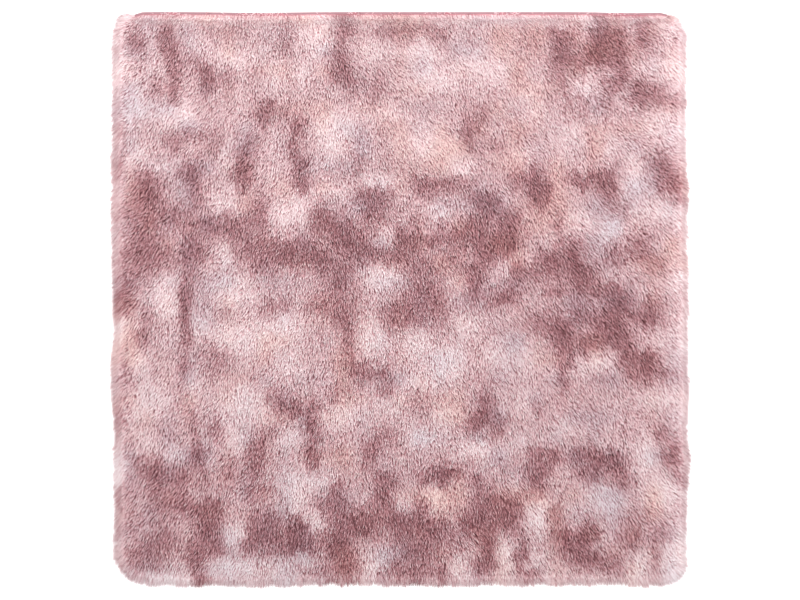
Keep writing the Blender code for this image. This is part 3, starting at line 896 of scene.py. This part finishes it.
dyeColours = {
    # from the darkest dye to the palest: place, red, green and blue
    "tips": (
        (0.0, 134, 78, 83), (0.22, 181, 125, 131), (0.45, 217, 174, 179),
        (0.70, 231, 210, 213), (1.0, 240, 233, 233),
    ),
    # partly the yarn's own darker roots, partly painted shade deep in the pile
    "roots": ((0.0, 80, 38, 44), (0.45, 138, 80, 88), (0.8, 196, 140, 148), (1.0, 226, 184, 190)),
    "peach": srgb(255, 246, 240),  # what the dye is multiplied by at its warmest
    "mauve": srgb(242, 246, 250),  # and at its coolest
    "tintRange": (0.0, 0.9),  # of the tint that leads from plain dye to these
    "rootEnd": (0.10, 0.70),  # where along a strand the root's colour gives way to the tip's
    "toneRange": 0.9,  # how far a strand's tone moves its dye; the tone holds painted light and shade as well as random differences
    "cloudScale": 70.0,
    "clouds": 0.06,  # how far the finest clouds move the dye
    "hairs": 0.42,
    "hairScale": (9, 6, 90),  # around a strand, along it and from one strand to the next
    "paintedLightTowardsHead": 0.08,  # painted light: brighter by this for each metre towards the head, where the lamp stands
    "roughness": 0.5,
    "sheen": 0.2,
    "sheenRoughness": 0.4,
}

# painted shade: the hanging strands lie in more light than the pile, so they get a duller, darker copy of its
# colours
shadedFringeColours = {
    **dyeColours,
    "tips": (
        (0.0, 126, 75, 80), (0.22, 172, 126, 131), (0.45, 203, 171, 174),
        (0.70, 218, 199, 201), (1.0, 231, 222, 222),
    ),
}


def pileDye(name, colours):
    # dark at the roots and pale at the tips, over the mottled dye that each strand carries; the dark roots
    # are partly the yarn's own colour and partly painted shade deep in the pile
    paint = Paint(name)
    dye, along, tone = paint.attribute("dye"), paint.attribute("along"), paint.attribute("tone")
    clouds = (paint.noise(colours["cloudScale"]) - 0.5) * colours["clouds"]
    # a strand's tone, partly random and partly painted light and shade, moves it along the dye's colours
    dye = dye + tone * colours["toneRange"] + clouds
    tips = paint.ramp(dye, colours["tips"])
    roots = paint.ramp(dye, colours["roots"])
    colour = paint.mix(along.between(*colours["rootEnd"]), roots, tips)
    tint = paint.attribute("tint")
    white = (1, 1, 1, 1)
    warm = paint.mix(tint.between(*colours["tintRange"]), white, colours["peach"])
    cool = paint.mix((tint * -1).between(*colours["tintRange"]), white, colours["mauve"])
    colour = paint.mix(1.0, paint.mix(1.0, colour, warm, "MULTIPLY"), cool, "MULTIPLY")
    # fine hairs: a noise drawn out along each strand
    aroundScale, alongScale, strandScale = colours["hairScale"]
    spot = {0: paint.attribute("around") * aroundScale, 1: along * alongScale, 2: tone * strandScale}
    spot = paint.node("ShaderNodeCombineXYZ", {}, spot)
    hairs = paint.noise(1.0, detail=1.0, vector=spot)
    # painted light: the colour brightens towards the head
    towardsHead = paint.node("ShaderNodeSeparateXYZ", {}, {0: paint.places()}, "Y")
    shade = 1 + (hairs - 0.5) * colours["hairs"] + towardsHead * colours["paintedLightTowardsHead"]
    shade = paint.node("ShaderNodeCombineColor", {}, {0: shade, 1: shade, 2: shade})
    colour = paint.mix(1.0, colour, shade, "MULTIPLY")
    sheen = {"Sheen_Weight": colours["sheen"], "Sheen_Roughness": colours["sheenRoughness"]}
    return paint.finish(Base_Color=colour, Roughness=colours["roughness"], **sheen)


pilePieces = []


def placePile(piece, finish):
    piece.data.materials.append(finish)
    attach(piece, "root")
    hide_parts("shag_pile")
    pilePieces.append(piece)
    print(piece.name, "made,", len(piece.data.polygons), "faces")


pileFinish = pileDye("dyedPile", dyeColours)
fringeFinish = pileDye("fringeDyeAndPaintedShade", shadedFringeColours)
rng = np.random.default_rng(seeds["strands"])
pattern = modelStrand()
ends, width, values = fieldStrands(rng).ends()
pieceOf = np.arange(len(ends)) % fieldLook["pieces"]
for number in range(fieldLook["pieces"]):
    mine = pieceOf == number
    share = {key: value[mine] for key, value in values.items()}
    placePile(joinCopies(f"pileRows{number + 1}", pattern, ends[mine], width[mine], share), pileFinish)
placePile(joinCopies("pileFringe", pattern, *rimStrands(rng).ends()), fringeFinish)
bpy.data.objects.remove(pattern)


groundLook = {
    "below": 0.010,  # the top of the pile
    "sinkFrom": 0.004,  # height from which it is sunk
    "sinkOver": 0.010,
    "keep": 0.005,  # height that is always kept
    "most": 0.75,  # share of the rest that may be sunk
    "drawIn": 0.35,  # share that is left of its reach past the bound edge
    "roughness": 0.0012,
    "bumpSize": 0.007,
    "clear": 0.0024,  # above the floor
    # painted shade: the ground takes the roots' colour and a darker tone, for the shade deep in the pile
    "along": 0.15,  # its colour, from 0 at a strand's root to 1 at its tip
    "tone": -0.40,
}


def makeGround():
    # the solid pile, sunk below the tips of the strands and darkened as painted shade of the pile's depth
    look = groundLook
    ground = copySolid("shag_pile", "pileGround")
    mesh = ground.data
    co = np.empty(len(mesh.vertices) * 3, np.float32)
    mesh.vertices.foreach_get("co", co)
    co = co.reshape(-1, 3).astype(float)
    place, height = co[:, :2], co[:, 2]
    past = np.maximum(-readMap(depthMap, place), 0)
    place -= readOutward(place) * (past * (1 - look["drawIn"]))[:, None]
    raised = np.clip((height - look["sinkFrom"]) / look["sinkOver"], 0, 1)
    height -= raised * np.minimum(look["below"], np.maximum(height - look["keep"], 0) * look["most"])
    height += raised * look["roughness"] * softNoise(place, look["bumpSize"], seeds["ground"])
    height[:] = np.maximum(height, look["clear"])
    mesh.vertices.foreach_set("co", co.astype(np.float32).ravel())
    mesh.shade_smooth()
    addValues(mesh, "dye", dyeAt(place))
    for key in ("along", "tone"):
        addValues(mesh, key, np.full(len(co), look[key]))
    mesh.update()
    return ground


placePile(makeGround(), pileFinish)


clothLook = {
    "width": 1.130,
    "length": 1.150,
    "middle": (0.0, 0.010),
    "corner": 0.045,
    "cornerCuts": 10,
    "bottom": 0.0006,
    "thickness": 0.0015,
    "colour": srgb(205, 190, 184),
    "thread": srgb(176, 160, 154),
    "weaveScale": 130.0,
    "weaveWobble": 1.0,
    "bump": (0.4, 0.0006),  # strength and distance
    "roughness": 0.85,
}


def makeCloth():
    # a flat sheet with round corners, that the pile stands in
    look = clothLook
    cloth = addSheet("baseCloth", look["width"], look["length"], (*look["middle"], look["bottom"]))
    bpy.ops.object.mode_set(mode="EDIT")
    pickFaces()
    bpy.ops.mesh.bevel(offset=look["corner"], segments=look["cornerCuts"], affect="VERTICES")
    pickFaces()
    bpy.ops.mesh.extrude_region_move(TRANSFORM_OT_translate={"value": (0, 0, look["thickness"])})
    pickFaces()
    bpy.ops.mesh.normals_make_consistent(inside=False)
    bpy.ops.object.mode_set(mode="OBJECT")
    return cloth


def clothWeave():
    look, paint = clothLook, Paint("wovenBacking")
    warp = paint.wave("X", look["weaveScale"], look["weaveWobble"])
    weft = paint.wave("Y", look["weaveScale"], look["weaveWobble"])
    weave = warp * 0.5 + weft * 0.5
    colour = paint.mix(weave, look["thread"], look["colour"])
    bump = paint.bump(weave, *look["bump"])
    return paint.finish(Base_Color=colour, Roughness=look["roughness"], Normal=bump)


tapeLook = {
    "colour": srgb(152, 118, 123),
    "shade": srgb(128, 94, 100),
    "cuts": 1,  # of each edge of the solid binding
    "sharpFrom": radians(50),
    "ribScale": 150.0,
    "ribWobble": 0.5,
    "fadeScale": 120.0,
    "bump": (0.35, 0.0004),
    "roughness": 0.7,
}


def makeTape():
    # the solid binding, cut finer
    tape = copySolid("edge_binding", "edgeTape", cuts=tapeLook["cuts"])
    bpy.ops.object.shade_smooth_by_angle(angle=tapeLook["sharpFrom"])
    return tape


def tapeWeave():
    look, paint = tapeLook, Paint("ribbedTape")
    rib = paint.wave("DIAGONAL", look["ribScale"], look["ribWobble"])
    shade = rib * 0.5 + paint.noise(look["fadeScale"]) * 0.5
    colour = paint.mix(shade, look["shade"], look["colour"])
    bump = paint.bump(rib, *look["bump"])
    return paint.finish(Base_Color=colour, Roughness=look["roughness"], Normal=bump)


cloth = makeCloth()
placePile(cloth, clothWeave())
tape = makeTape()
tape.data.materials.append(tapeWeave())
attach(tape, "root")
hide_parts("edge_binding")
others = [piece for piece in pilePieces if piece is not cloth] + [tape]
triangles = sum(len(face.vertices) - 2 for piece in others + [cloth] for face in piece.data.polygons)
print("cloth and tape made; triangles in all:", triangles)


stageLook = {
    "floorSize": 8.0,
    "floorHeight": -0.0004,
    "floorColour": srgb(250, 250, 250),
    "floorRoughness": 0.9,
    "skyStrength": 1.42,
    "lampPower": 105,
    "lampSize": (2.6, 1.6),
    "lampPlace": (0.5, 1.6, 2.7),
    "cameraLens": 85.0,
    "seenTo": 50,  # metres from the camera
    "pictureWidth": 800,  # pixels
    "pixel": 0.00208,  # metres of the rug in a pixel
    "aim": (-0.002, -0.001, 0.013),
}


def makeFloor():
    look = stageLook
    floor = addSheet("floor", look["floorSize"], look["floorSize"], (0, 0, look["floorHeight"]))
    finish = Paint("paleFloor").finish(Base_Color=look["floorColour"], Roughness=look["floorRoughness"])
    floor.data.materials.append(finish)


def makeLight():
    # a white sky all round and one large soft lamp, high over the head edge
    world = bpy.data.worlds.new("studio")
    bpy.context.scene.world = world
    world.use_nodes = True
    sky = world.node_tree.nodes["Background"]
    sky.inputs["Color"].default_value = (1, 1, 1, 1)
    sky.inputs["Strength"].default_value = stageLook["skyStrength"]
    light = bpy.data.lights.new("window", "AREA")
    light.shape = "RECTANGLE"
    light.size, light.size_y = stageLook["lampSize"]
    light.energy = stageLook["lampPower"]
    lamp = linkObject("window", light)
    lamp.location = stageLook["lampPlace"]
    lamp.rotation_mode = "QUATERNION"
    lamp.rotation_quaternion = (-lamp.location).to_track_quat("-Z", "Y")


def makeCamera():
    # straight above the rug, as far away as gives a pixel its size
    lens = bpy.data.cameras.new("camera")
    lens.lens = stageLook["cameraLens"]
    lens.clip_end = stageLook["seenTo"]
    camera = linkObject("camera", lens)
    away = stageLook["pictureWidth"] * stageLook["pixel"] * lens.lens / lens.sensor_width
    camera.location = Vector(stageLook["aim"]) + Vector((0, 0, away))
    bpy.context.scene.camera = camera


makeFloor()
makeLight()
makeCamera()
bpy.context.scene.view_settings.view_transform = "Standard"
print("stage made")
